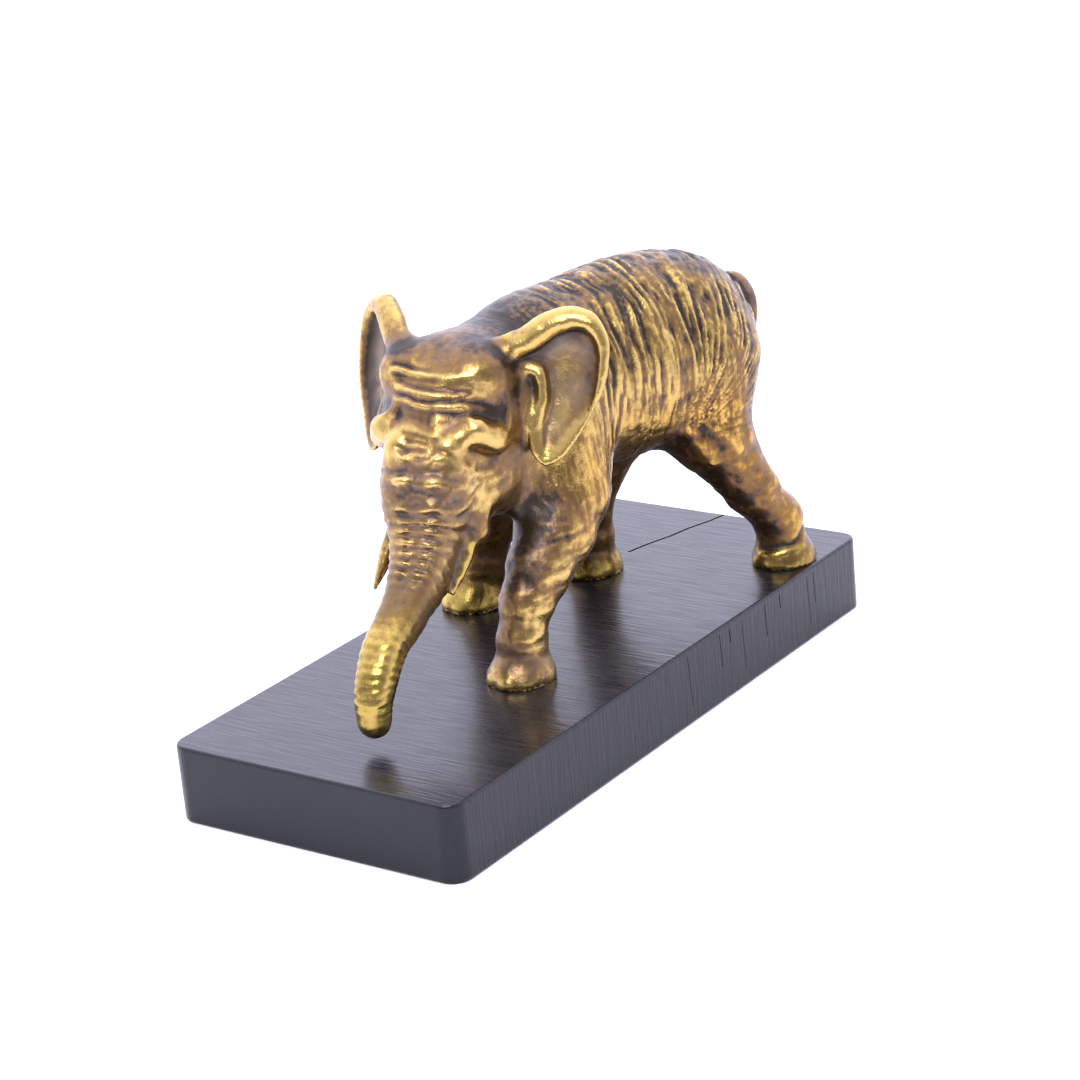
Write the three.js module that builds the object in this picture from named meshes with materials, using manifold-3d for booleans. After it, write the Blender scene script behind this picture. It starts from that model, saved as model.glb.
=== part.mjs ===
// A walking elephant, cast in one piece, on a black wooden base block.
// Millimetres, +Z up. The origin is the middle of the base's underside, and the trunk's tip is over the
// base's +X end.
import * as THREE from "three";
import { mergeVertices } from "three/addons/utils/BufferGeometryUtils.js";
import Module from "manifold-3d";

const { degToRad, clamp, lerp, smoothstep } = THREE.MathUtils;

// The base block, with its upright edges rounded and its top and bottom edges eased
const BASE = { length: 150, width: 68.4, height: 16, corner: 4, bevel: 0.7, cornerSteps: 3 };

// Where the elephant stands: its middle on the base, the turn of its spine, and the gap under its soles
const STANCE = { x: -20, y: 2.4, yaw: degToRad(-14), soleGap: 0.02 };

// The elephant's own places are [forward, left, up] from its middle, at the level of its soles.
// Each mass is an ellipsoid with its half sizes, and each limb is a path with its radius at every point.
const BODY = {
  belly: { at: [-9, 0, 50.5], half: [27, 17.5, 21] },
  chest: { at: [12, 0, 51], half: [17, 15, 18.5] },
  hips: { at: [-25, 0.5, 50.5], half: [16, 14, 18.5] },
  croup: { at: [-30.5, 0.5, 49.5], half: [15.4, 10.5, 14] },
};
const SHOULDER = { at: [15.5, 11.5, 38], half: [9.5, 6.5, 12.5] };
const NECK = { path: [[14, 0, 50.5], [30, 1, 52.5]], girth: [15.5, 13] };

// Each leg runs from inside the body to below its sole, which is cut flat afterwards
const LEGS = {
  leftFore: {
    path: [
      [16.6, 9, 42], [18, 13, 32], [23, 15.6, 26], [29, 17.3, 20.5],
      [33.6, 18, 15], [36, 18.3, 8], [36.4, 18.3, -2],
    ],
    girth: [9.5, 8.8, 7.6, 6.3, 5.1, 4.7, 5.6],
  },
  rightFore: {
    path: [[16, -10, 42], [14.5, -14, 31], [12.8, -17.5, 19], [14.2, -19.6, 9], [16, -20.6, -2]],
    girth: [11, 9, 6, 4.9, 5.8],
  },
  leftHind: {
    path: [[-27, 7, 46], [-25.8, 10.5, 32], [-33.2, 13.8, 18], [-39.6, 14.5, 10], [-41, 14.8, -2]],
    girth: [12.5, 8.4, 5.4, 4.9, 5.8],
  },
  rightHind: {
    path: [[-25, -7, 46], [-16, -11, 31], [-11.2, -13.6, 16], [-11.8, -14.4, 8], [-12, -14.8, -2]],
    girth: [12.5, 8, 5, 4.6, 5.6],
  },
};
const FOOT = { half: [7, 6.6, 5], ahead: 0.5, level: 0.8 };
const NAILS = { perFoot: 4, spread: degToRad(40), half: [1, 1.7, 1.8], inset: 0.5, level: 0.9 };

// The head is turned to the elephant's left. Its own places are [forward, left, up] from its middle.
const HEAD = { at: [33.5, 1.5, 50], yaw: degToRad(26) };
const SKULL = { at: [-1, 0, 2], half: [13.5, 13.5, 14] };
const JAW = { at: [7, 0, -15], half: [7, 4.1, 5] };
const MUZZLE = { path: [[6, -0.3, 2], [12.5, -0.5, -9]], girth: [10, 9.6] };

// What the head has on both sides, given for its left
const SIDE_MASSES = {
  dome: { at: [3, 6.6, 10.5], half: [6.5, 7, 5.5] },
  temple: { at: [5, 9.5, 0.5], half: [7, 5, 5] },
  cheek: { at: [4, 8, -9], half: [7.5, 5.5, 9] },
};
const BROW = { path: [[13.4, 5.2, 0], [11.4, 9.4, 2], [8.4, 11.8, 0]], girth: [3.1, 2.9, 2.4] };
const TUSK_SHEATH = { path: [[9, 6.5, -9], [12.5, 7.5, -18]], girth: [4, 3] };
const TUSK = {
  path: [[11.5, 7.4, -15], [16, 8.3, -22], [20.5, 8.4, -28.5]],
  root: 2.3,
  tip: 0.4,
  sway: -1.5,
};
const EYE = { at: [8.6, 12.2, -0.8], half: [2.4, 1.8, 2] };

// The ringed trunk swings out to the front and hangs just clear of the base
const TRUNK = {
  path: [
    [40.6, 4.8, 49.5], [46.4, 7.6, 40], [48.9, 8.8, 32.5], [53.6, 11, 26],
    [61, 14.4, 21.2], [70, 18.6, 16.8], [75, 21, 10.5], [76.8, 21.9, 2.2],
  ],
  girth: [6.6, 9.6, 8.3, 6.4, 4.9, 4.2, 4, 3.6],
  rings: 20,
  ringDepth: 0.42,
  tightening: 2,
  ringStart: 0.1,
  squareness: 0.05,
  tipRound: 0.03,
  tipGirth: 0.3,
  rootInset: 0.8,
};
const TAIL = {
  path: [
    [-38, 1, 59], [-44.5, 1.2, 58], [-47.6, 1.2, 53],
    [-47.2, 1, 46.5], [-44, 0.6, 39.5], [-39.5, 0, 33.5],
  ],
  girth: [3, 2.5, 2, 1.7, 1.6, 2],
};

// An ear's places are [outward, up] from the middle of its root, and a roll stands proud in front of the edge
const EAR = {
  outline: [
    [-4, 5.5], [0.4, 10.2], [5.2, 13.4], [9.8, 14.9], [13.6, 13.6], [16, 9.8], [16, 4.5],
    [14.9, -0.5], [12.9, -4.6], [10, -9], [7, -12.3], [3.8, -13.7], [1.5, -11.6], [0.8, -6], [-1.5, -1],
  ],
  thickness: 1.8,
  edge: 0.9,
  cup: 2.6,
};
const EAR_RIM = {
  path: [
    [-9, 5.5], [-4.6, 8], [0.4, 10], [5.1, 12.7], [9.7, 14], [13.4, 13],
    [15.6, 10], [15.9, 5], [14.7, -0.2], [12.7, -4.3], [9.8, -8.7],
  ],
  girth: [2.4, 2.5, 2.5, 2.5, 2.2, 1.7, 1.3, 1.1, 0.9, 0.8, 0.7],
  proud: 0.7,
};
const EAR_FOLD = {
  path: [[-2, 5], [2.4, 4], [3.4, -1], [2, -6], [2, -11]],
  girth: [1.3, 1.3, 1.2, 1.1, 0.8],
  proud: -0.6,
};
const EARS = {
  left: { root: [27.2, 15.6, 56.2], outward: degToRad(126), lean: degToRad(16), side: 1 },
  right: { root: [39.9, -10.1, 56.4], outward: degToRad(-107), lean: degToRad(16.5), side: -1 },
};

// How wide the fillets are where masses meet
const MELT = { body: 8, leg: 6, joint: 2, head: 3, brow: 1.5, neck: 7 };

// How finely each surface is faceted. The skin's grid is finer at the head and coarser along the legs.
const GRID = {
  low: [-56, -32, -9],
  high: [66, 34, 82],
  cell: [3.6, 3.05, 3],
  head: 2.8,
  headFrom: 16,
  leg: 3.7,
  legTo: 22,
};
const FACETS = {
  trunk: { perRing: 2, sides: 10 },
  roll: { stations: 10, sides: 6 },
  tusk: { stations: 4, sides: 6 },
  ear: { around: 22, shrink: [1, 0.84, 0.5] },
  eye: { round: 8, rows: 5 },
  nail: { round: 6, rows: 4 },
};

// Distances are negative inside a shape and zero on its surface. This joins two of them with a fillet.
function melt(a, b, width) {
  const overlap = Math.max(width - Math.abs(a - b), 0) / width;
  return Math.min(a, b) - (overlap * overlap * width) / 4;
}

function massDistance(p, { at, half }) {
  const off = p.map((x, i) => x - at[i]);
  const reach = Math.hypot(...off.map((x, i) => x / half[i]));
  const slope = Math.hypot(...off.map((x, i) => x / half[i] ** 2));
  return slope > 0 ? (reach * (reach - 1)) / slope : -Math.min(...half);
}

function spanDistance(p, from, to, girthFrom, girthTo) {
  const span = to.map((x, i) => x - from[i]);
  const off = p.map((x, i) => x - from[i]);
  const dot = (a, b) => a.reduce((sum, x, i) => sum + x * b[i], 0);
  const share = clamp(dot(off, span) / dot(span, span), 0, 1);
  return Math.hypot(...off.map((x, i) => x - span[i] * share)) - lerp(girthFrom, girthTo, share);
}

function limbDistance(p, { path, girth }) {
  return path
    .slice(1)
    .map((to, i) => spanDistance(p, path[i], to, girth[i], girth[i + 1]))
    .reduce((a, b) => melt(a, b, MELT.joint));
}

const headCos = Math.cos(HEAD.yaw);
const headSin = Math.sin(HEAD.yaw);
const headLeft = [-headSin, headCos, 0];

function toHead(p) {
  const [x, y, z] = p.map((place, i) => place - HEAD.at[i]);
  return [x * headCos + y * headSin, y * headCos - x * headSin, z];
}

function fromHead([x, y, z]) {
  return [HEAD.at[0] + x * headCos - y * headSin, HEAD.at[1] + x * headSin + y * headCos, HEAD.at[2] + z];
}

function headDistance(p) {
  const q = toHead(p);
  const folded = [q[0], Math.abs(q[1]), q[2]];
  const rootGirth = TRUNK.girth.slice(0, 2).map((girth) => girth - TRUNK.rootInset);
  const parts = [
    ...Object.values(SIDE_MASSES).map((mass) => massDistance(folded, mass)),
    massDistance(q, JAW),
    limbDistance(q, MUZZLE),
    limbDistance(folded, TUSK_SHEATH),
    limbDistance(p, { path: TRUNK.path.slice(0, 2), girth: rootGirth }),
  ];
  const head = parts.reduce((a, b) => melt(a, b, MELT.head), massDistance(q, SKULL));
  return melt(head, limbDistance(folded, BROW), MELT.brow);
}

function footMiddle({ path }) {
  const [x, y] = path.at(-1);
  return [x + FOOT.ahead, y, FOOT.level];
}

function elephantDistance(p) {
  let distance = Object.values(BODY)
    .map((mass) => massDistance(p, mass))
    .reduce((a, b) => melt(a, b, MELT.body));
  for (const leg of Object.values(LEGS)) {
    const foot = massDistance(p, { at: footMiddle(leg), half: FOOT.half });
    distance = melt(distance, melt(limbDistance(p, leg), foot, MELT.joint), MELT.leg);
  }
  distance = melt(distance, massDistance([p[0], Math.abs(p[1]), p[2]], SHOULDER), MELT.leg);
  distance = melt(distance, limbDistance(p, NECK), MELT.neck);
  return melt(distance, headDistance(p), MELT.neck);
}

function geometryOf(position, index) {
  const geometry = new THREE.BufferGeometry();
  geometry.setAttribute("position", new THREE.Float32BufferAttribute(position, 3));
  geometry.setIndex(index);
  return geometry;
}

// Grid places from low to high, each a cell further on
function gridLines(low, high, cellAt) {
  const lines = [low];
  while (lines.at(-1) < high) lines.push(lines.at(-1) + cellAt(lines.at(-1)));
  return lines;
}

// Moves a point along the slope of the distance until it lies on the surface
function drawToSurface(distance, point) {
  const rounds = 3;
  const step = 0.05;
  const leastSlope = 0.2;
  let p = point;
  for (let round = 0; round < rounds; round++) {
    const here = distance(p);
    const slope = p.map((_, i) => (distance(p.map((x, j) => (i === j ? x + step : x))) - here) / step);
    const steepness = Math.max(slope.reduce((sum, x) => sum + x * x, 0), leastSlope);
    p = p.map((x, i) => x - (clamp(here, -1, 1) * slope[i]) / steepness);
  }
  return p;
}

// Closed mesh of the surface where the distance is zero: a vertex in each grid cell that it crosses, and a
// quad across each grid edge that it cuts
function skinGeometry(distance, lines) {
  const size = lines.map((line) => line.length);
  const at = (i, j, k) => (k * size[1] + j) * size[0] + i;
  const everyCell = (margin, visit) => {
    for (let k = 0; k < size[2] - margin; k++)
      for (let j = 0; j < size[1] - margin; j++)
        for (let i = 0; i < size[0] - margin; i++) visit(i, j, k);
  };
  const value = new Float32Array(size[0] * size[1] * size[2]);
  everyCell(0, (i, j, k) => {
    value[at(i, j, k)] = distance([lines[0][i], lines[1][j], lines[2][k]]);
  });

  const corners = [...Array(8).keys()].map((c) => [c & 1, (c >> 1) & 1, c >> 2]);
  const edges = corners.flatMap((_, a) => [1, 2, 4].filter((bit) => !(a & bit)).map((bit) => [a, a | bit]));
  const vertexOf = new Int32Array(value.length).fill(-1);
  const position = [];
  everyCell(1, (i, j, k) => {
    const v = corners.map((c) => value[at(i + c[0], j + c[1], k + c[2])]);
    const crossed = edges.filter(([a, b]) => v[a] < 0 !== v[b] < 0);
    if (!crossed.length) return;
    const mean = [i, j, k].map((cell, axis) => {
      const shares = crossed.map(([a, b]) => lerp(corners[a][axis], corners[b][axis], v[a] / (v[a] - v[b])));
      const share = shares.reduce((sum, x) => sum + x, 0) / shares.length;
      return lerp(lines[axis][cell], lines[axis][cell + 1], share);
    });
    vertexOf[at(i, j, k)] = position.length / 3;
    position.push(...drawToSurface(distance, mean));
  });

  const steps = [[1, 0, 0], [0, 1, 0], [0, 0, 1]];
  const point = (vertex) => new THREE.Vector3().fromArray(position, 3 * vertex);
  const index = [];
  everyCell(1, (i, j, k) => {
    const inside = value[at(i, j, k)] < 0;
    steps.forEach((ahead, axis) => {
      if (inside === value[at(i + ahead[0], j + ahead[1], k + ahead[2])] < 0) return;
      const u = steps[(axis + 1) % 3];
      const w = steps[(axis + 2) % 3];
      const corner = (a, b) => {
        const cell = [i, j, k].map((x, c) => x - a * u[c] - b * w[c]);
        return vertexOf[at(...cell)];
      };
      const quad = [corner(0, 0), corner(1, 0), corner(1, 1), corner(0, 1)];
      if (!inside) quad.reverse();
      const diagonal = (a, b) => point(quad[a]).distanceTo(point(quad[b]));
      if (diagonal(1, 3) < diagonal(0, 2)) quad.push(quad.shift());
      index.push(quad[0], quad[1], quad[2], quad[0], quad[2], quad[3]);
    });
  });
  return geometryOf(position, index);
}

// Value of a list of numbers at a share of its length
function graded(values, share) {
  const place = clamp(share, 0, 1) * (values.length - 1);
  const i = Math.min(Math.floor(place), values.length - 2);
  return lerp(values[i], values[i + 1], place - i);
}

// Tube along a path, closed by a point at each end. The radius depends on the share of the path and on the
// turn round it, which is counted from the crosswise direction. Spacing gives the share of the path at each
// share of the stations.
function tubeGeometry(path, across, radius, { stations, sides }, spacing = (share) => share) {
  const curve = new THREE.CatmullRomCurve3(path.map((p) => new THREE.Vector3(...p)));
  const position = curve.getPointAt(0).toArray();
  for (let i = 0; i <= stations; i++) {
    const share = spacing(i / stations);
    const centre = curve.getPointAt(share);
    const tangent = curve.getTangentAt(share);
    const over = tangent.clone().cross(new THREE.Vector3(...across)).normalize();
    const aside = over.clone().cross(tangent);
    for (let j = 0; j < sides; j++) {
      const turn = (j / sides) * 2 * Math.PI;
      const out = aside.clone().multiplyScalar(Math.cos(turn)).addScaledVector(over, Math.sin(turn));
      position.push(...centre.clone().addScaledVector(out, radius(share, turn)).toArray());
    }
  }
  position.push(...curve.getPointAt(1).toArray());
  const ring = (i, j) => 1 + i * sides + (j % sides);
  const last = position.length / 3 - 1;
  const index = [];
  for (let j = 0; j < sides; j++) {
    index.push(0, ring(0, j + 1), ring(0, j), last, ring(stations, j), ring(stations, j + 1));
    for (let i = 0; i < stations; i++) {
      index.push(ring(i, j), ring(i, j + 1), ring(i + 1, j));
      index.push(ring(i, j + 1), ring(i + 1, j + 1), ring(i + 1, j));
    }
  }
  return geometryOf(position, index);
}

// The trunk's rings get closer together towards its tip
function trunkGeometry() {
  const { path, girth, rings, ringDepth, tightening, ringStart, squareness, tipRound, tipGirth } = TRUNK;
  const { perRing, sides } = FACETS.trunk;
  const reach = 1 - 1 / tightening;
  const shareAt = (ringShare) => (1 - tightening ** -ringShare) / reach;
  const ringShareAt = (share) => -Math.log(1 - share * reach) / Math.log(tightening);
  const radius = (share, turn) => {
    const swell = ringDepth * smoothstep(share, 0, ringStart);
    const ripple = swell * Math.cos(ringShareAt(share) * rings * 2 * Math.PI);
    const square = 1 - squareness * Math.cos(4 * turn);
    const pastTip = Math.max(share - 1 + tipRound, 0) / tipRound;
    return (graded(girth, share) * square + ripple) * Math.max(Math.sqrt(1 - pastTip ** 2), tipGirth);
  };
  return tubeGeometry(path, headLeft, radius, { stations: rings * perRing, sides }, shareAt);
}

function tuskGeometry(side) {
  const path = TUSK.path.map(([x, y, z], i) => fromHead([x, side * y + i * TUSK.sway, z]));
  const radius = (share) => Math.max(TUSK.root * Math.sqrt(1 - share), TUSK.tip);
  return tubeGeometry(path, headLeft, radius, FACETS.tusk);
}

function tailGeometry() {
  return tubeGeometry(TAIL.path, [0, 1, 0], (share) => graded(TAIL.girth, share), FACETS.roll);
}

// A rounded lump with its own half sizes, turned about the upright
function lumpGeometry(at, half, turn, { round, rows }) {
  const lump = new THREE.SphereGeometry(1, round, rows).rotateX(Math.PI / 2);
  return lump.scale(...half).rotateZ(turn).translate(...at);
}

function eyeGeometry(side) {
  const [x, y, z] = EYE.at;
  return lumpGeometry(fromHead([x, side * y, z]), EYE.half, HEAD.yaw, FACETS.eye);
}

function nailGeometries() {
  return Object.values(LEGS).flatMap((leg) => {
    const [x, y] = footMiddle(leg);
    return [...Array(NAILS.perFoot).keys()].map((i) => {
      const turn = (i - (NAILS.perFoot - 1) / 2) * NAILS.spread;
      const [ahead, aside] = FOOT.half.map((half) => half - NAILS.inset);
      const at = [x + ahead * Math.cos(turn), y + aside * Math.sin(turn), NAILS.level];
      return lumpGeometry(at, NAILS.half, turn, FACETS.nail);
    });
  });
}

// An ear is a cupped leaf: rings of its outline that shrink to the middle, front and back, joined at the
// edge. A rolled rim follows its upper and outer edge, and a fold runs down beside its root.
function earGeometries({ root, outward, lean, side }) {
  const { around, shrink } = FACETS.ear;
  const out = [Math.cos(outward), Math.sin(outward)];
  const front = [side * out[1], -side * out[0]];
  const place = (u, w, n) => {
    const ahead = n - w * Math.tan(lean);
    return [root[0] + out[0] * u + front[0] * ahead, root[1] + out[1] * u + front[1] * ahead, root[2] + w];
  };
  const outline = new THREE.CatmullRomCurve3(EAR.outline.map(([u, w]) => new THREE.Vector3(u, w, 0)), true);
  const edge = outline.getSpacedPoints(around).slice(0, around);
  const middle = edge.reduce((sum, p) => sum.add(p), new THREE.Vector3()).divideScalar(around);
  const depth = (share) => -EAR.cup * (1 - share ** 2);
  const position = [];
  for (const face of [1, -1]) {
    for (const share of shrink) {
      const thickness = share === 1 ? EAR.edge : EAR.thickness;
      for (const p of edge) {
        const q = p.clone().lerp(middle, 1 - share);
        position.push(...place(q.x, q.y, depth(share) + (face * thickness) / 2));
      }
    }
    position.push(...place(middle.x, middle.y, depth(0) + (face * EAR.thickness) / 2));
  }
  const perFace = shrink.length * around + 1;
  const vertex = (face, ring, j) => face * perFace + ring * around + (j % around);
  const index = [];
  const triangle = (a, b, c) => (side > 0 ? index.push(a, c, b) : index.push(a, b, c));
  const quad = (a, b, c, d) => [[a, b, c], [a, c, d]].forEach((corners) => triangle(...corners));
  const inner = shrink.length - 1;
  for (let j = 0; j < around; j++) {
    for (let ring = 0; ring < inner; ring++) {
      quad(vertex(0, ring, j), vertex(0, ring, j + 1), vertex(0, ring + 1, j + 1), vertex(0, ring + 1, j));
      quad(vertex(1, ring, j), vertex(1, ring + 1, j), vertex(1, ring + 1, j + 1), vertex(1, ring, j + 1));
    }
    triangle(vertex(0, inner, j), vertex(0, inner, j + 1), perFace - 1);
    triangle(vertex(1, inner, j + 1), vertex(1, inner, j), 2 * perFace - 1);
    quad(vertex(0, 0, j), vertex(1, 0, j), vertex(1, 0, j + 1), vertex(0, 0, j + 1));
  }
  const rolls = [EAR_RIM, EAR_FOLD].map(({ path, girth, proud }) => {
    const places = path.map(([u, w]) => place(u, w, proud));
    return tubeGeometry(places, [...front, 0], (share) => graded(girth, share), FACETS.roll);
  });
  return [geometryOf(position, index), ...rolls];
}

const wasm = await Module();
wasm.setup();

function solidOf(geometry) {
  const bare = geometry.clone();
  bare.deleteAttribute("normal");
  bare.deleteAttribute("uv");
  const merged = mergeVertices(bare);
  const vertProperties = merged.attributes.position.array;
  const triVerts = new Uint32Array(merged.index.array);
  return new wasm.Manifold(new wasm.Mesh({ numProp: 3, vertProperties, triVerts }));
}

// The skin and everything that stands on it become one casting, and the soles are cut level
function elephantGeometry() {
  const { low, high, cell, head, headFrom, leg, legTo } = GRID;
  const lines = [
    gridLines(low[0], high[0], (x) => (x < headFrom ? cell[0] : head)),
    gridLines(low[1], high[1], () => cell[1]),
    gridLines(low[2], high[2], (z) => (z < legTo ? leg : cell[2])),
  ];
  const additions = [
    trunkGeometry(),
    tailGeometry(),
    ...[1, -1].flatMap((side) => [tuskGeometry(side), eyeGeometry(side)]),
    ...Object.values(EARS).flatMap(earGeometries),
    ...nailGeometries(),
  ];
  const [length, width] = high.map((x, i) => 2 * (x - low[i]));
  const depth = -2 * low[2];
  const underSoles = new THREE.BoxGeometry(length, width, depth).translate(0, 0, -depth / 2);
  const casting = additions
    .reduce((solid, addition) => solid.add(solidOf(addition)), solidOf(skinGeometry(elephantDistance, lines)))
    .subtract(solidOf(underSoles));
  const { vertProperties, triVerts } = casting.getMesh();
  return geometryOf(Array.from(vertProperties), Array.from(triVerts));
}

function baseGeometry() {
  const { length, width, height, corner, bevel, cornerSteps } = BASE;
  const plan = new THREE.Shape();
  [[1, -1], [1, 1], [-1, 1], [-1, -1]].forEach(([x, y], quarter) => {
    const start = (quarter - 1) * (Math.PI / 2);
    const centre = [x * (length / 2 - corner), y * (width / 2 - corner)];
    plan.absarc(...centre, corner - bevel, start, start + Math.PI / 2, false);
  });
  const block = new THREE.ExtrudeGeometry(plan, {
    depth: height - 2 * bevel,
    curveSegments: cornerSteps,
    bevelThickness: bevel,
    bevelSize: bevel,
    bevelSegments: 1,
  });
  return block.translate(0, 0, bevel);
}

const bronze = new THREE.MeshStandardMaterial({ color: 0x9a6f26, roughness: 0.35, metalness: 1 });
const ebonisedWood = new THREE.MeshStandardMaterial({ color: 0x17161a, roughness: 0.4, metalness: 0 });

const elephant = new THREE.Mesh(elephantGeometry(), bronze);
elephant.name = "elephant";
elephant.position.set(STANCE.x, STANCE.y, BASE.height + STANCE.soleGap);
elephant.rotation.z = STANCE.yaw;

const base = new THREE.Mesh(baseGeometry(), ebonisedWood);
base.name = "base";

const sculpture = new THREE.Group();
sculpture.add(base, elephant);
export default sculpture;
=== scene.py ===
"""Dresses the frame of a cast bronze elephant on a black wooden base block.

The casting gets its wrinkled skin and worn patina, the block its saw marks and its crack, and a stage with a
camera stands round them."""

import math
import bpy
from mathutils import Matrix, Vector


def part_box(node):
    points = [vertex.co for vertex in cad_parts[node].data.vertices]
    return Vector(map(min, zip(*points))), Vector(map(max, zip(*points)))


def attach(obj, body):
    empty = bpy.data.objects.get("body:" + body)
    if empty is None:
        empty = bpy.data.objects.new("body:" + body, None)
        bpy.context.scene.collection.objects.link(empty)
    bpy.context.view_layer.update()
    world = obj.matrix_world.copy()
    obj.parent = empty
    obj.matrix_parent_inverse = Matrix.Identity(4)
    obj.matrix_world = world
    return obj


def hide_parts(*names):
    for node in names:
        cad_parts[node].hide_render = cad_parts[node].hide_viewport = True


bl_info = {
    "name": "Bronze Elephant on a Base",
    "version": (1, 0, 0),
    "blender": (4, 5, 0),
    "location": "3D View > Sidebar > Elephant",
    "description": "Sculpts a cast bronze elephant and its ebonised base over their solids",
    "category": "Object",
}

import bmesh
import bpy
import numpy as np
from mathutils import Matrix, Vector, noise

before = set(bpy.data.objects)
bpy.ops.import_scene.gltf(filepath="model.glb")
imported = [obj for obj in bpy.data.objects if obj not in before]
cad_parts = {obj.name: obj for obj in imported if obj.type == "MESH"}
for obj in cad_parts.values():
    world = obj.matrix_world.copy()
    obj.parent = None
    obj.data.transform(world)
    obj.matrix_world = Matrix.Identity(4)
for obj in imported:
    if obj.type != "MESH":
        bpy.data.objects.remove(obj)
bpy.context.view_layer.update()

MM = 0.001
BODY_NAME = "root"

# Where the elephant stands on the base, and the turn of its spine
STANCE = {"at": (-20.0, 2.4, 16.02), "yaw": math.radians(-14)}

# Places on the elephant are in millimetres, [forward, left, up] from its middle at the level of its soles.
# A mass is an ellipsoid with its half sizes, and a limb is a path with its radius at every point.
BODY = (
    {"at": (-9, 0, 50.5), "half": (27, 17.5, 21)},
    {"at": (12, 0, 51), "half": (17, 15, 18.5)},
    {"at": (-25, 0.5, 50.5), "half": (16, 14, 18.5)},
    {"at": (-30.5, 0.5, 49.5), "half": (15.4, 10.5, 14)},
)
SHOULDER = {"at": (15.5, 11.5, 38), "half": (9.5, 6.5, 12.5)}
NECK = {"path": ((14, 0, 50.5), (30, 1, 52.5)), "girth": (15.5, 13)}
LEFT_FORE = {
    "path": (
        (16.6, 9, 42), (18, 13, 32), (23, 15.6, 26), (29, 17.3, 20.5),
        (33.6, 18, 15), (36, 18.3, 8), (36.4, 18.3, -2),
    ),
    "girth": (9.5, 8.8, 7.6, 6.3, 5.1, 4.7, 5.6),
}
RIGHT_FORE = {
    "path": ((16, -10, 42), (14.5, -14, 31), (12.8, -17.5, 19), (14.2, -19.6, 9), (16, -20.6, -2)),
    "girth": (11, 9, 6, 4.9, 5.8),
}
LEFT_HIND = {
    "path": ((-27, 7, 46), (-25.8, 10.5, 32), (-33.2, 13.8, 18), (-39.6, 14.5, 10), (-41, 14.8, -2)),
    "girth": (12.5, 8.4, 5.4, 4.9, 5.8),
}
RIGHT_HIND = {
    "path": ((-25, -7, 46), (-16, -11, 31), (-11.2, -13.6, 16), (-11.8, -14.4, 8), (-12, -14.8, -2)),
    "girth": (12.5, 8, 5, 4.6, 5.6),
}
LEGS = (LEFT_FORE, RIGHT_FORE, LEFT_HIND, RIGHT_HIND)
FOOT = {"half": (7, 6.6, 5), "ahead": 0.5, "level": 0.8}
NAILS = {"per_foot": 4, "spread": math.radians(40), "half": (0.9, 1.5, 1.4), "inset": 0.7, "level": 0.7}

# The head's own places are [forward, left, up] from its middle
HEAD = {"at": (33.5, 1.5, 50), "yaw": math.radians(26)}
SKULL = {"at": (-1, 0, 2), "half": (13.5, 13.5, 14)}
JAW = {"at": (7, 0, -15), "half": (7, 4.1, 5)}
MUZZLE = {"path": ((6, -0.3, 2), (12.5, -0.5, -9)), "girth": (10, 9.6)}
SIDE_MASSES = (
    {"at": (3, 6.6, 10.5), "half": (6.5, 7, 5.5)},
    {"at": (5, 9.5, 0.5), "half": (7, 5, 5)},
    {"at": (4, 8, -9), "half": (7.5, 5.5, 9)},
)
BROW = {"path": ((13.4, 5.2, 0), (11.4, 9.4, 2), (8.4, 11.8, 0)), "girth": (3.1, 2.9, 2.4)}
TUSK_SHEATH = {"path": ((9, 6.5, -9), (12.5, 7.5, -18)), "girth": (4, 3)}
TUSK = {
    "path": ((11.5, 7.4, -15), (16, 8.3, -22), (20.5, 8.4, -28.5)),
    "root": 2.3,
    "tip": 0.4,
    "sway": -1.5,
}
EYE = {"at": (8.6, 12.2, -0.8), "half": (2.4, 1.8, 2)}

TRUNK = {
    "path": (
        (40.6, 4.8, 49.5), (46.4, 7.6, 40), (48.9, 8.8, 32.5), (53.6, 11, 26),
        (61, 14.4, 21.2), (70, 18.6, 16.8), (75, 21, 10.5), (76.1, 21.6, 5.5),
    ),
    "girth": (6.6, 9.6, 8.3, 6.4, 4.9, 4.2, 4, 3.3),
    "rings": 26,
    "tightening": 3,
    "squareness": 0.05,
    "root_inset": 0.8,
}
TAIL = {
    "path": (
        (-38, 1, 59), (-44.5, 1.2, 58), (-47.6, 1.2, 53),
        (-47.2, 1, 46.5), (-44, 0.6, 39.5), (-39.5, 0, 33.5),
    ),
    "girth": (3, 2.5, 2, 1.7, 1.6, 2),
}

# An ear's places are [outward, up] from the middle of its root
EAR = {
    "outline": (
        (-4, 5.5), (0.4, 10.2), (5.2, 13.4), (9.8, 14.9), (13.6, 13.6), (16, 9.8), (16, 4.5),
        (14.9, -0.5), (12.9, -4.6), (10, -9), (7, -12.3), (3.8, -13.7), (1.5, -11.6), (0.8, -6), (-1.5, -1),
    ),
    "thickness": 1.9,
    "edge": 1.5,
    "thin_from": 0.84,
    "cup": 2.6,
}
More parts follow.
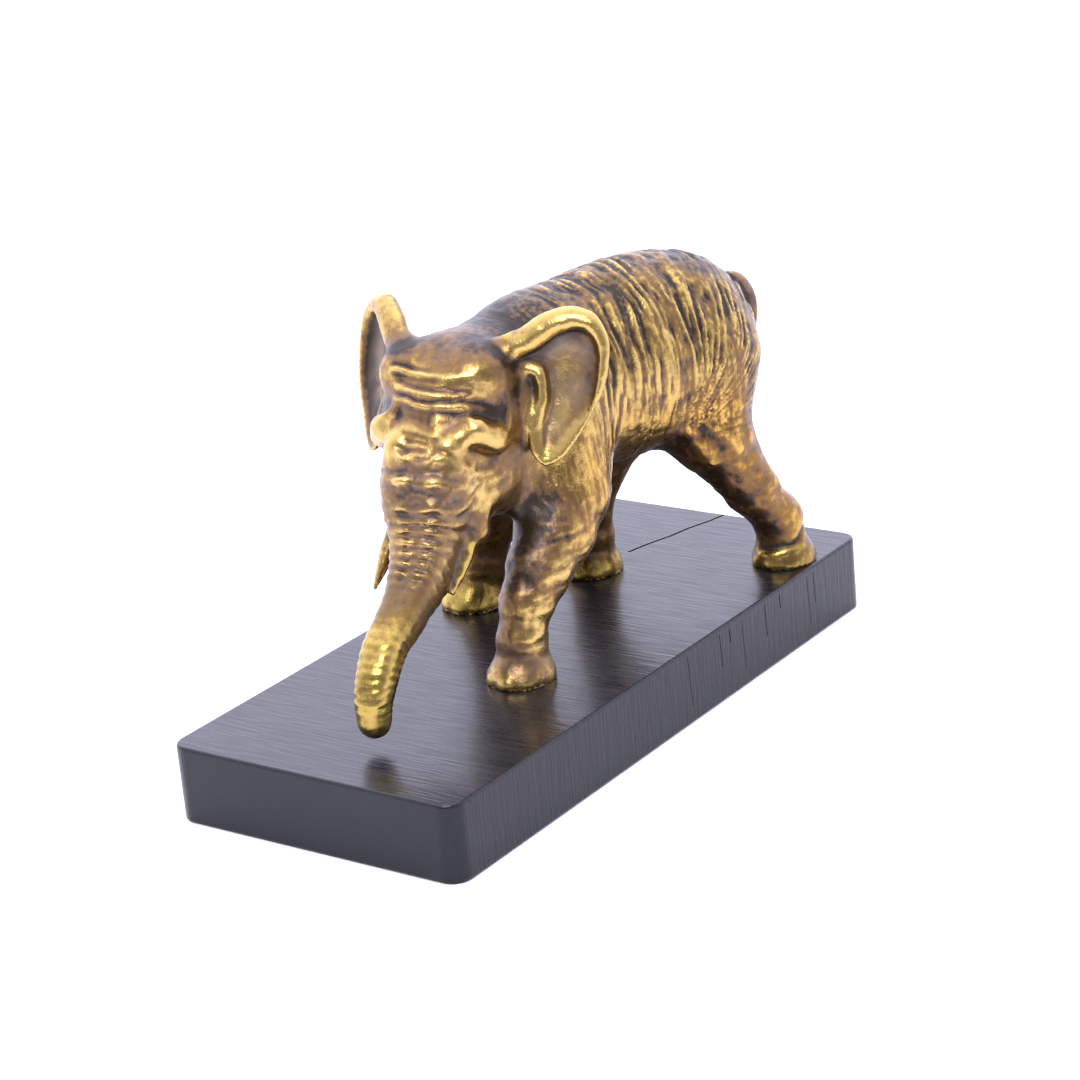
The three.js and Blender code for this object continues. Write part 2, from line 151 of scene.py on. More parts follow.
# Where the girth is below zero, the end of the rim sinks into the leaf
EAR_RIM = {
    "path": (
        (-9, 5.5), (-4.6, 8), (0.4, 10), (5.1, 12.7), (9.7, 14), (13.4, 13),
        (15.6, 10), (15.9, 5), (14.7, -0.2), (12.7, -4.3), (9.8, -8.7),
    ),
    "girth": (2.4, 2.5, 2.5, 2.5, 2.2, 1.7, 1.2, 0.8, 0.4, -0.4, -1.2),
    "proud": 0.7,
}
EAR_FOLD = {
    "path": ((-2, 5), (2.4, 4), (3.4, -1), (2, -6), (2.1, -10.6)),
    "girth": (1.3, 1.3, 1.2, 1.1, 0.9),
    "proud": -0.6,
}
EARS = (
    {"root": (27.2, 15.6, 56.2), "outward": math.radians(126), "lean": math.radians(16), "side": 1},
    {"root": (39.9, -10.1, 56.4), "outward": math.radians(-107), "lean": math.radians(16.5), "side": -1},
)

# How wide the fillets are where masses meet
MELT = {
    "body": 8, "leg": 6, "joint": 2, "head": 3, "brow": 1.5, "neck": 7,
    "roll": 1.5, "ear": 2, "trunk": 2.5, "addition": 0.8,
}
# The distance given to points that are well away from a shape
FAR = 20.0


def linear(code):
    """Linear colour of an sRGB hex value, with an alpha of 1."""
    shares = [int(code[i : i + 2], 16) / 255 for i in (1, 3, 5)]
    return [c / 12.92 if c <= 0.04045 else ((c + 0.055) / 1.055) ** 2.4 for c in shares] + [1.0]


def add_node(tree, kind, inputs=None, **settings):
    """Adds a shader node to the tree, with its settings and with values or links for its inputs."""
    node = tree.nodes.new("ShaderNode" + kind)
    for name, value in settings.items():
        setattr(node, name, value)
    for socket, value in (inputs or {}).items():
        if isinstance(value, bpy.types.NodeSocket):
            tree.links.new(value, node.inputs[socket])
        else:
            node.inputs[socket].default_value = value
    return node


def ease(low, high, value):
    """0 below low, 1 above high, and smooth between them. Low may be the higher number."""
    share = np.clip((value - low) / (high - low), 0, 1)
    return share * share * (3 - 2 * share)


def lumps(p, size, seed=0):
    """Smooth noise from about -1 to 1 at the points, with lumps of this size in millimetres."""
    return np.array([noise.noise(Vector(q)) for q in p / size + 17.3 * seed])


def lengths(vectors):
    return np.linalg.norm(vectors, axis=1)


# Distances are negative inside a shape and zero on its surface


def melt(a, b, width):
    """Joins two distances with a fillet of this width."""
    overlap = np.maximum(width - np.abs(a - b), 0) / width
    return np.minimum(a, b) - overlap * overlap * width / 4


def mass_distance(p, at, half):
    off = p - np.array(at, float)
    half = np.array(half, float)
    reach = lengths(off / half)
    slope = lengths(off / half**2)
    return reach * (reach - 1) / np.maximum(slope, 1e-9)


def limb_distance(p, path, girth):
    distance = None
    for start, end, first, last in zip(path, path[1:], girth, girth[1:]):
        span = np.subtract(end, start)
        off = p - np.array(start, float)
        share = np.clip(off @ span / (span @ span), 0, 1)
        part = lengths(off - share[:, None] * span) - (first + (last - first) * share)
        distance = part if distance is None else melt(distance, part, MELT["joint"])
    return distance


def turned(p, at, yaw):
    """The points in a frame that stands at a place and is turned about the upright."""
    off = p - np.array(at, float)
    c, s = math.cos(yaw), math.sin(yaw)
    return np.column_stack([off[:, 0] * c + off[:, 1] * s, off[:, 1] * c - off[:, 0] * s, off[:, 2]])


def mirrored(p):
    """The points with their right side folded on to their left."""
    return np.column_stack([p[:, 0], np.abs(p[:, 1]), p[:, 2]])


def smooth_path(points, closed=False, count=160, steps=40):
    """Even points along the smooth curve through these points."""
    p = np.array(points, float)
    ends = (p[-1:], p[:2]) if closed else (2 * p[:1] - p[1:2], 2 * p[-1:] - p[-2:-1])
    p = np.vstack([ends[0], p, ends[1]])
    t = np.linspace(0, 1, steps)[:, None]
    pieces = []
    for a, b, c, d in zip(p, p[1:], p[2:], p[3:]):
        before, here, after = (math.sqrt(np.linalg.norm(v)) for v in (b - a, c - b, d - c))
        out = ((b - a) / before - (c - a) / (before + here) + (c - b) / here) * here
        into = ((c - b) / here - (d - b) / (here + after) + (d - c) / after) * here
        bend = 2 * t**3 - 3 * t**2
        pieces.append((1 + bend) * b - bend * c + (t**3 - 2 * t**2 + t) * out + (t**3 - t**2) * into)
    dense = np.vstack(pieces)
    length = np.append(0, np.cumsum(lengths(np.diff(dense, axis=0))))
    even = np.linspace(0, length[-1], count)
    return np.column_stack([np.interp(even, length, column) for column in dense.T])


def along_path(p, line):
    """The share of the line where each point is nearest, its offset from there and the line's direction."""
    square = (line**2).sum(1) - 2 * p @ line.T
    nearest = square.argmin(1)
    direction = np.gradient(line, axis=0)
    step = lengths(direction)
    direction = direction / step[:, None]
    ahead = ((p - line[nearest]) * direction[nearest]).sum(1)
    at_start, at_end = nearest == 0, nearest == len(line) - 1
    inside = np.clip(ahead, np.where(at_start, 0, -np.inf), np.where(at_end, 0, np.inf))
    share = (nearest + inside / step[nearest]) / (len(line) - 1)
    return share, p - line[nearest] - inside[:, None] * direction[nearest], direction[nearest]


def tube_distance(p, path, across, radius):
    """Distance to a tube whose radius depends on the share of its path and on the turn round it."""
    line = smooth_path(path)
    distance = np.full(len(p), FAR)
    near = np.flatnonzero(((p > line.min(0) - FAR / 2) & (p < line.max(0) + FAR / 2)).all(1))
    share, out, direction = along_path(p[near], line)
    over = np.cross(direction, across)
    over /= lengths(over)[:, None]
    aside = np.cross(over, direction)
    turn = np.arctan2((out * over).sum(1), (out * aside).sum(1))
    distance[near] = lengths(out) - radius(share, turn)
    return distance


def graded(values, share):
    return np.interp(share, np.linspace(0, 1, len(values)), values)


HEAD_LEFT = (-math.sin(HEAD["yaw"]), math.cos(HEAD["yaw"]), 0.0)


def to_head(p):
    return turned(p, HEAD["at"], HEAD["yaw"])


def from_head(q):
    """The place on the elephant of a place on its head."""
    at = HEAD["at"]
    c, s = math.cos(HEAD["yaw"]), math.sin(HEAD["yaw"])
    return (at[0] + q[0] * c - q[1] * s, at[1] + q[0] * s + q[1] * c, at[2] + q[2])


def head_distance(p):
    q = to_head(p)
    folded = mirrored(q)
    root_girth = [girth - TRUNK["root_inset"] for girth in TRUNK["girth"][:2]]
    parts = [mass_distance(folded, **mass) for mass in SIDE_MASSES]
    parts += [
        mass_distance(q, **JAW),
        limb_distance(q, **MUZZLE),
        limb_distance(folded, **TUSK_SHEATH),
        limb_distance(p, TRUNK["path"][:2], root_girth),
    ]
    distance = mass_distance(q, **SKULL)
    for part in parts:
        distance = melt(distance, part, MELT["head"])
    return melt(distance, limb_distance(folded, **BROW), MELT["brow"])


def foot_middle(leg):
    x, y, _ = leg["path"][-1]
    return (x + FOOT["ahead"], y, FOOT["level"])


def skin_distance(p):
    distance = mass_distance(p, **BODY[0])
    for mass in BODY[1:]:
        distance = melt(distance, mass_distance(p, **mass), MELT["body"])
    for leg in LEGS:
        foot = mass_distance(p, foot_middle(leg), FOOT["half"])
        distance = melt(distance, melt(limb_distance(p, **leg), foot, MELT["joint"]), MELT["leg"])
    distance = melt(distance, mass_distance(mirrored(p), **SHOULDER), MELT["leg"])
    distance = melt(distance, limb_distance(p, **NECK), MELT["neck"])
    return melt(distance, head_distance(p), MELT["neck"])


def trunk_radius(share, turn):
    """The trunk is a little square, so that its front is flat between two edges. Its tip is round."""
    square = 1 - TRUNK["squareness"] * np.cos(4 * turn) * ease(1, 0.9, share)
    return graded(TRUNK["girth"], share) * square


def trunk_distance(p):
    return tube_distance(p, TRUNK["path"], HEAD_LEFT, trunk_radius)


def trunk_share(p):
    """The share of the trunk's length at each point, from its root to its tip."""
    return along_path(p, smooth_path(TRUNK["path"]))[0]


def tail_distance(p):
    return tube_distance(p, TAIL["path"], (0, 1, 0), lambda share, turn: graded(TAIL["girth"], share))


def tusk_distance(p, side):
    path = [(x, side * y + i * TUSK["sway"], z) for i, (x, y, z) in enumerate(TUSK["path"])]
    path = [from_head(q) for q in path]
    radius = lambda share, turn: np.maximum(TUSK["root"] * np.sqrt(1 - share), TUSK["tip"])
    return tube_distance(p, path, HEAD_LEFT, radius)


def ear_frame(p, ear):
    """The points as [outward, up, ahead] of an ear's leaf."""
    out = np.array([math.cos(ear["outward"]), math.sin(ear["outward"])])
    front = ear["side"] * np.array([out[1], -out[0]])
    off = p - np.array(ear["root"], float)
    ahead = off[:, :2] @ front + off[:, 2] * math.tan(ear["lean"])
    return np.column_stack([off[:, :2] @ out, off[:, 2], ahead])


def leaf_distance(q):
    """Distance to an ear's cupped leaf, from points in its own frame."""
    edge = smooth_path(EAR["outline"], closed=True, count=240)
    middle = edge.mean(0)
    spokes = edge - middle
    bearing = np.arctan2(spokes[:, 1], spokes[:, 0])
    order = np.argsort(bearing)
    reach = lengths(spokes)
    off = q[:, :2] - middle
    here = np.arctan2(off[:, 1], off[:, 0])
    share = lengths(off) / np.interp(here, bearing[order], reach[order], period=2 * math.pi)
    to_edge = lengths(along_path(q[:, :2], edge)[1]) * np.where(share < 1, -1, 1)
    within = np.clip(share, 0, 1)
    half = np.interp(within, (EAR["thin_from"], 1), (EAR["thickness"] / 2, EAR["edge"] / 2))
    through = np.abs(q[:, 2] + EAR["cup"] * (1 - within**2)) - half
    rounding = EAR["edge"] / 2
    a, b = through + rounding, to_edge + rounding
    return np.minimum(np.maximum(a, b), 0) + np.hypot(np.maximum(a, 0), np.maximum(b, 0)) - rounding


def ear_distance(p, ear):
    distance = np.full(len(p), FAR)
    near = np.flatnonzero(lengths(p - np.array(ear["root"])) < 2 * FAR)
    q = ear_frame(p[near], ear)
    part = leaf_distance(q)
    for roll in (EAR_RIM, EAR_FOLD):
        path = [(u, w, roll["proud"]) for u, w in roll["path"]]
        girth = roll["girth"]
        tube = tube_distance(q, path, (0, 0, 1), lambda share, turn: graded(girth, share))
        part = melt(part, tube, MELT["roll"])
    distance[near] = part
    return distance


def nail_distances(p):
    for leg in LEGS:
        x, y, _ = foot_middle(leg)
        for i in range(NAILS["per_foot"]):
            turn = (i - (NAILS["per_foot"] - 1) / 2) * NAILS["spread"]
            ahead, aside = (half - NAILS["inset"] for half in FOOT["half"][:2])
            at = (x + ahead * math.cos(turn), y + aside * math.sin(turn), NAILS["level"])
            yield mass_distance(turned(p, at, turn), (0, 0, 0), NAILS["half"])


def casting_distance(p):
    additions = [
        tail_distance(p),
        mass_distance(mirrored(to_head(p)), **EYE),
        *(tusk_distance(p, side) for side in (1, -1)),
        *nail_distances(p),
    ]
    distance = melt(skin_distance(p), trunk_distance(p), MELT["trunk"])
    for ear in EARS:
        distance = melt(distance, ear_distance(p, ear), MELT["ear"])
    for addition in additions:
        distance = melt(distance, addition, MELT["addition"])
    return distance


def drawn_to_surface(p, rounds=2):
    """The points moved along the slope of the casting's distance until they lie on its surface."""
    step, least_steepness, longest_move = 0.05, 0.3, 0.8
    for _ in range(rounds):
        here = casting_distance(p)
        slope = np.column_stack([(casting_distance(p + step * axis) - here) / step for axis in np.eye(3)])
        steepness = np.maximum((slope**2).sum(1), least_steepness)
        p = p - (np.clip(here, -longest_move, longest_move) / steepness)[:, None] * slope
        p[:, 2] = np.maximum(p[:, 2], 0)
    return p


def rounded(values, ends, times):
    """Values at the vertices, each replaced by the mean of its neighbours this many times."""
    count = len(values)
    one, other = ends.T
    share = np.bincount(ends.ravel(), minlength=count)
    for _ in range(times):
        sums = [
            np.bincount(one, column[other], count) + np.bincount(other, column[one], count)
            for column in values.T
        ]
        values = (values + np.column_stack(sums) / share[:, None]) / 2
    return values


def mesh_array(collection, name, width, kind=np.float64):
    values = np.empty(len(collection) * width, kind)
    collection.foreach_get(name, values)
    return values.reshape(-1, width)


def applied(item):
    """The mesh of an object with its modifiers applied."""
    ready = item.evaluated_get(bpy.context.evaluated_depsgraph_get())
    return bpy.data.meshes.new_from_object(ready)


def finished(bm, name):
    """The mesh that a bmesh holds."""
    mesh = bpy.data.meshes.new(name)
    bm.to_mesh(mesh)
    bm.free()
    return mesh


def linked(name, data):
    """A new object in the scene."""
    item = bpy.data.objects.new(name, data)
    bpy.context.scene.collection.objects.link(item)
    return item


def even_faces(mesh, grain):
    """A mesh of the same shape, made of small even faces."""
    rough = linked("rough_casting", mesh)
    remesh = rough.modifiers.new("even_faces", "REMESH")
    remesh.mode = "VOXEL"
    remesh.voxel_size = grain
    fine = applied(rough)
    bpy.data.objects.remove(rough)
    bpy.data.meshes.remove(mesh)
    return fine


def merged_copy(node):
    """A copy of a solid's mesh with its loose triangles joined."""
    bm = bmesh.new()
    bm.from_mesh(node.data)
    bmesh.ops.remove_doubles(bm, verts=bm.verts, dist=1e-7)
    return finished(bm, "casting")


# Strokes of the modelling tool on the head, from one end to the other: depth, width and places on the head.
# Those of the first group run across it, and those of the second are on both of its sides.
ACROSS_STROKES = (
    (-0.3, 0.6, ((7.5, -9.5, 13.6), (10.4, -4.5, 14.3), (10.8, 0.5, 14.1))),
    (0.3, 0.8, ((8, -10, 12.6), (11, -5, 13.2), (11.8, 0, 13), (10.5, 5, 12.4), (8, 9.5, 11.6))),
    (-0.4, 0.6, ((8.6, -9.4, 12), (11.2, -5, 12.4), (12, 0, 12), (11.4, 3, 11.8))),
    (-0.45, 0.65, ((9.2, -8.5, 10.9), (11.8, -4.5, 11.1), (12.6, 0, 10.5), (11.6, 5, 9.9), (9.5, 9.5, 9))),
    (0.3, 0.7, ((9.4, -8.3, 9.9), (12.2, -4.5, 9.9), (13, 0, 9.2), (12, 5, 8.6))),
    (
        -0.45,
        0.65,
        ((9.8, -8.2, 8.6), (12.6, -4, 8.6), (13.5, 0.5, 8), (12.4, 5, 7.9), (10.3, 9.2, 7.4), (7, 13, 5)),
    ),
    (0.3, 0.8, ((10.4, -8, 7.4), (13, -3.5, 7.5), (13.9, 1, 6.9), (12.8, 5, 6.8), (10.6, 9.4, 6))),
    (-0.4, 0.7, ((11.2, -5.5, 6.4), (13.6, -1, 6.3), (13.6, 4, 5.8), (11.6, 8.4, 5), (7.6, 13, 2.2))),
    (-0.9, 1.8, ((11.5, -6.5, 4.8), (13.6, -3, 4.9), (14.8, 0, 4.6), (14.4, 2.6, 4.3))),
    (-0.3, 0.5, ((15.2, -4.2, 1.8), (16.8, -1, 2), (16.6, 2, 1.4))),
    (-0.35, 0.5, ((16, -3.6, 0.4), (17.4, -0.4, 0.6), (17, 2.2, 0))),
    (-0.3, 0.5, ((16.2, -4.2, -1.1), (18, -1, -0.9), (17.6, 2, -1.4))),
    (-0.35, 0.55, ((17.2, -3, -2.8), (18.6, 0, -2.6), (17.6, 3.2, -3.2))),
    (-0.4, 0.8, ((15, -7, -5.4), (18.4, -3, -5.6), (19.4, 1, -5.4), (18, 5, -6.2), (15, 8.4, -5))),
    (-0.4, 0.7, ((16, -7, -7.6), (19, -3, -7.8), (20, 1.5, -7.8), (18.6, 5.4, -8.2))),
    (
        -0.4,
        0.7,
        ((16.4, -7, -9.8), (19.6, -2.6, -10.2), (20.6, 1, -10), (19, 5.6, -10.2), (15.6, 8.8, -8.6)),
    ),
)
SIDE_STROKES = (
    (-0.7, 2.2, ((12, 8.4, 5.2), (9.4, 12, 4.6), (6, 14, 3))),
    (-0.3, 1.3, ((16.4, 2.4, 1.8), (17.4, 2.6, -0.6), (17.4, 3, -3))),
    (-0.25, 0.9, ((13.6, 9.2, -4.8), (11.4, 11.2, -5.4), (8.5, 12.8, -4.2))),
    (-0.2, 0.8, ((13.8, 9, -6.8), (11, 11.2, -7.6), (7.5, 12.6, -6.4))),
    (-0.2, 0.9, ((12.5, 10, -9.2), (9.5, 11.8, -10), (6, 12.8, -9))),
    *(
        (
            -0.3,
            0.7,
            (
                (19.6, 5.6, -6.6 - 2.1 * i),
                (17, 8.2, -6.2 - 2 * i),
                (13.6 - 0.6 * (i % 3), 9.8, -4.8 - 1.8 * i),
            ),
        )
        for i in range(4)
    ),
)
# Rounded lumps and dents on both sides of the head, at the brow and the eye: height, radius and place
SIDE_LUMPS = (
    (1.2, 2.8, (16.4, 5.6, -0.4)),
    (0.7, 2.2, (11.2, 12.4, -1)),
    (-0.3, 1.4, (14.2, 9.6, -1.8)),
)
# Creases and folds of the legs and the groin, at places on the elephant
LEG_STROKES = (
    (
        -0.5,
        0.7,
        (
            (-33.7, 12.5, 4.6), (-34.5, 15.3, 4.4), (-36.4, 18.5, 4.9),
            (-39, 19.8, 5.6), (-42, 19.6, 7), (-44.5, 18, 8.5),
        ),
    ),
    (0.6, 1.5, ((-14.5, 13.2, 37), (-16.5, 14.2, 34.6), (-18.6, 15.2, 31), (-21.8, 16.4, 26.6))),
    (-0.4, 1.2, ((-17.5, 15.4, 37), (-20, 16.6, 33.6), (-22.6, 17.6, 30))),
    (0.4, 1.2, ((-20.5, 17, 37), (-23.4, 18.4, 33), (-26, 18.6, 29))),
    (0.3, 1.0, ((-34, 13, 3), (-35.6, 17, 3.2), (-39, 20, 3.6), (-43, 19.6, 4.6))),
    (-0.25, 0.6, ((31, 21.5, 27.5), (28, 22.5, 27.3), (24, 22.5, 27.4), (20.5, 20.5, 27))),
    (-0.2, 0.6, ((33, 22.4, 22.4), (30, 23.2, 22), (26.5, 22.4, 21.2))),
    (-0.2, 0.6, ((40, 20, 8.6), (38, 22.8, 8.4), (34, 22.8, 8.6), (32, 20.5, 9))),
)
# A stroke tapers over this share at each end, reaches this many widths and is shaken by lumps of this size
STROKE = {"points": 50, "rounds": 6, "taper": 0.15, "reach": 3, "shake": 0.3, "shake_size": 3}


def bell(value, middle, width):
    """1 at the middle, falling off smoothly to both sides."""
    return np.exp(-(((value - middle) / width) ** 2))


def spot(p, middle, reach):
    """1 at the middle of a soft spot, falling off with its reach in each direction."""
    return np.exp(-(((p - middle) / reach) ** 2).sum(1))


def stroke_relief(p):
    """Height of the tool's strokes at the points. Each stroke lies on the surface and tapers to its ends."""
    strokes = [(depth, width, [from_head(q) for q in path]) for depth, width, path in ACROSS_STROKES]
    for depth, width, path in SIDE_STROKES:
        for side in (1, -1):
            strokes.append((depth, width, [from_head((f, side * l, u)) for f, l, u in path]))
    strokes += LEG_STROKES
    count, taper = STROKE["points"], STROKE["taper"]
    lines = np.vstack([smooth_path(path, count=count) for _, _, path in strokes])
    lines = drawn_to_surface(lines, STROKE["rounds"])
    relief = np.zeros(len(p))
    shake = np.column_stack([lumps(p, STROKE["shake_size"], seed) for seed in (21, 22, 23)])
    shaken = p + STROKE["shake"] * shake
    for i, (depth, width, _) in enumerate(strokes):
        line = lines[i * count : (i + 1) * count]
        reach = STROKE["reach"] * width
        near = np.flatnonzero(((p > line.min(0) - reach) & (p < line.max(0) + reach)).all(1))
        share, out, _ = along_path(shaken[near], line)
        ends = np.minimum(ease(0, taper, share), ease(1, 1 - taper, share))
        relief[near] += depth * ends * spot(out, 0, width)
    folded = mirrored(to_head(p))
    for height, radius, place in SIDE_LUMPS:
        relief += height * spot(folded, place, radius)
    return relief


# The folds behind the groin fan out from it, by this many millimetres for each radian. Rows of long and of
# short folds lie over each other: their number in two pitches, the length of a fold and the noise's seed.
FOLDS = {"groin": (-16.0, 35.0), "fan": 27.0, "wander": 1.6, "long": (2, 11, 2), "short": (4, 6, 3)}
# How deep the soft and the short folds are, and what is left of them on bare patches, neck and rump
FOLD_SHARES = {"soft": 0.5, "short": 0.4, "bare": 0.25, "neck": 0.35, "rump": 0.9}


def flank_folds(p, settings):
    """Depth of the folds that hang round the body, from 0 to about 1. They are wide and deep on the back,
    soft on the flank, fanned from the groin behind it and faint on the neck."""
    s, t, z = p.T
    groin_s, groin_z = FOLDS["groin"]
    fan = -FOLDS["fan"] * np.arctan2(np.maximum(groin_s - s, 0), z - groin_z)
    place = np.where(s > groin_s, s - groin_s, fan)
    place = place + FOLDS["wander"] * lumps(p * (1, 1, 0.45), 8, 1)
    pitch = settings.fold_pitch / MM
    long, short = (
        lumps(np.column_stack([rate * place / pitch, t / length, z / length]), 1, seed)
        for rate, length, seed in (FOLDS["long"], FOLDS["short"])
    )
    on_back = ease(40, 60, z + 7 * lumps(p, 9, 13))
    soft = FOLD_SHARES["soft"] * ease(-0.2, 0.5, long)
    depth = soft + (ease(-0.4, 0.25, long) - soft) * on_back
    depth = depth + FOLD_SHARES["short"] * ease(-0.2, 0.4, short)
    patches = ease(-0.35, 0.25, lumps(p * (1, 1, 0.6), 7, 11) + 0.5 * lumps(p, 3, 12))
    for least, share in (
        (FOLD_SHARES["bare"], patches),
        (FOLD_SHARES["neck"], ease(15, 6, s)),
        (FOLD_SHARES["rump"], ease(-36, -28, s)),
    ):
        depth = depth * (least + (1 - least) * share)
    on_thigh = ease(-10, -16, s) * ease(39, 31, z)
    return depth * (1 - on_thigh)


# Two rows of knobs beside the groove on the trunk's front: bearing and width in degrees, and height
KNOBS = ((-13, 10, 1.0), (27, 10, 0.8))
GROOVE = {"bearing": 7, "width": 8, "depth": 0.15}
# How deep the rings are between the knobs, at the knobs and at the tip, and how far they dip and wander
RINGS = {"between": 0.25, "knobs": 1.15, "tip": 0.16, "dip": 0.5, "wander": 0.15}


def trunk_rings(p, settings):
    """Height of the trunk's rings. They swell to two rows of knobs beside a groove on its front, fade at its
    bend and run right round its tip."""
    share, out, direction = along_path(p, smooth_path(TRUNK["path"]))
    front = np.cross(direction, HEAD_LEFT)
    front /= lengths(front)[:, None]
    left = np.cross(front, direction)
    bearing = np.degrees(np.arctan2((out * left).sum(1), (out * front).sum(1)))
    on_trunk = ease(2.4, 0.8, trunk_distance(p))
    on_trunk *= ease(0.06, 0.14, share) * ease(1, 0.95, share)
    reach = 1 - 1 / TRUNK["tightening"]
    turns = -TRUNK["rings"] * np.log(1 - share * reach) / math.log(TRUNK["tightening"])
    above_bend = ease(0.59, 0.49, share)
    at_tip = ease(0.68, 0.76, share)
    dip = RINGS["dip"] * at_tip * np.cos(np.radians(bearing))
    ring = np.cos(2 * math.pi * (turns - dip + RINGS["wander"] * lumps(p, 5, 7)))
    knobs = sum(height * bell(bearing, middle, width) for middle, width, height in KNOBS)
    strength = above_bend * (RINGS["between"] + RINGS["knobs"] * knobs) + RINGS["tip"] * at_tip
    groove = GROOVE["depth"] * above_bend * bell(bearing, GROOVE["bearing"], GROOVE["width"])
    return on_trunk * ((settings.ring_depth / MM) * strength * ring - groove)


def leg_creases(p):
    """Depth of the fine creases across the legs, which are deepest at the knees."""
    s, t, z = p.T
    crease = ease(0.05, 0.5, lumps(np.column_stack([s / 8, t / 8, z]), 1, 4))
    return -crease * ease(34, 27, z) * (0.25 + 0.5 * bell(z, 20, 6)) * ease(3, 5, z)


TUFT = {"height": 0.3, "locks": 6, "twist": 5}


def tail_tuft(p):
    """Height of the hair at the end of the tail."""
    share, out, _ = along_path(p, smooth_path(TAIL["path"]))
    near = ease(4, 3, lengths(out)) * ease(0.7, 0.85, share)
    near *= ease(-36, -38, p[:, 0])
    turn = np.arctan2(out[:, 1], out[:, 0])
    return near * TUFT["height"] * np.cos(TUFT["locks"] * turn + TUFT["twist"] * share)


# Depths in millimetres of the legs' creases and of the lumps left in the cast skin
SKIN = {"creases": 0.12, "dents": 0.16, "pits": 0.08, "leg_dents": 0.22}


def elephant_relief(p, settings):
    """How far each point of the skin is pushed out, in millimetres."""
    z = p[:, 2]
    head = head_distance(p)
    on_skin = ease(0.9, 0.3, skin_distance(p))
    body = on_skin * ease(1, 6, head) * ease(24, 32, z)
    legs = on_skin * ease(38, 30, z) * ease(6, 12, z)
    relief = -body * (settings.fold_depth / MM) * flank_folds(p, settings)
    relief += trunk_rings(p, settings)
    relief += SKIN["creases"] * on_skin * ease(2, 5, head) * leg_creases(p)
    relief += stroke_relief(p)
    relief += tail_tuft(p)
    relief += SKIN["dents"] * lumps(p, 4, 5) + SKIN["pits"] * lumps(p, 1.4, 6)
    relief += SKIN["leg_dents"] * legs * lumps(p, 2.6, 8)
    return relief


# How much each region adds to the patina and its painted shade and light, which is 0 where the bronze is
# bright
# # and 1 where it is darkest
PATINA_AND_PAINTED_LIGHT = {
    "everywhere": 0.36, "back": 0.04, "back_folds": 0.3, "spine": 0.3, "rump": 0.18, "neck": 0.5,
    # The inner legs' shares are painted shade on the sides of the legs that face inward and forward
    "legs": 0.1, "left_inner_legs_shade": 0.5, "right_inner_legs_shade": 0.2, "leg_clouds": 0.08, "leg_specks": 0.12,
    "head": 0.2, "crown": 0.4, "trunk": 0.2, "trunk_hollows": -0.5, "trunk_bend": 0.22, "trunk_tip": -0.04,
    # The ears' cups share is painted light that brightens them
    "ear_cup_light": -0.55, "ear_cup_top": 0.5, "ear_cup_clouds": 0.35, "ear_front": -0.4,
    # The tail's end share is painted shade
    "right_ear": 0.5, "right_ear_lobe": 0.25, "right_tusk": 0.4, "tail_end_shade": 0.55,
}
# Darker and brighter spots, on both sides of the head and on the left fore leg: middle, reach and amount.
# # The brighter spot on the cheeks below the eyes is painted light.
HEAD_SPOTS = (
    ((14.5, 7.5, 0), (4, 6, 3.5), -0.35),
    ((17.5, 0, 0), (3, 4, 3), -0.2),
    ((10, 8, 11), (4, 5, 3), -0.2),
    ((12, 3, 8), (4, 5, 3), 0.14),
    # Painted light: brightens the cheeks below the eyes
    ((14, 9, -8), (5, 4, 6), -0.42),
    ((8.5, 12.5, 4.6), (4, 3, 2), 0.35),
)
LEG_SPOTS = (
    ((37, 18.3, 3.5), (9, 9, 4), 0.2),
    ((38.5, 21, 12), (4, 5, 4.5), -0.5),
)


def body_regions(p, normal, hollow, folds):
    """How much each point belongs to each region of the patina and of its painted shade, apart from those of
    the ears.
    """
    s, t, z = p.T
    head = head_distance(p)
    q = to_head(p)
    share = trunk_share(p)
    on_skin = ease(1, 0.3, skin_distance(p))
    body = on_skin * ease(1, 6, head)
    leg = on_skin * ease(40, 32, z)
    on_head = on_skin * ease(3, 0, head)
    trunk = ease(1.5, 0.5, trunk_distance(p)) * ease(0.06, 0.18, share)
    # Painted shade on the sides of the legs that face each other and the head
    inward = 0.5 * normal[:, 0] - normal[:, 1] * np.sign(t)
    shaded_inner_leg = leg * ease(-0.9, -0.2, inward) * ease(5, 9, z)
    return {
        "everywhere": np.ones(len(p)),
        "trunk_hollows": trunk * hollow,
        "back": body * ease(46, 60, z),
        "back_folds": body * ease(36, 56, z) * folds,
        "spine": body * ease(0.6, 0.95, normal[:, 2]) * ease(60, 66, z),
        "rump": body * ease(-20, -30, s),
        "neck": bell(s, 22, 9) * ease(50, 58, z) * ease(-3, 1, head),
        "legs": leg,
        "left_inner_legs_shade": shaded_inner_leg * (t > 0),
        "right_inner_legs_shade": shaded_inner_leg * (t <= 0),
        "leg_clouds": leg * lumps(p, 2.4, 33),
        "leg_specks": leg * lumps(p, 0.9, 34),
        "head": on_head,
        "crown": on_head * ease(9, 3, q[:, 0]) * ease(9, 13, q[:, 2]),
        "trunk": trunk * ease(0.78, 0.66, share),
        "trunk_bend": trunk * bell(share, 0.6, 0.08),
        "trunk_tip": trunk * ease(0.74, 0.9, share),
        # Painted shade on the end of the tail
        "tail_end_shade": ease(1.5, 0.3, tail_distance(p)) * ease(-39, -43, s),
        "right_tusk": ease(1, 0.2, tusk_distance(p, -1)),
    }


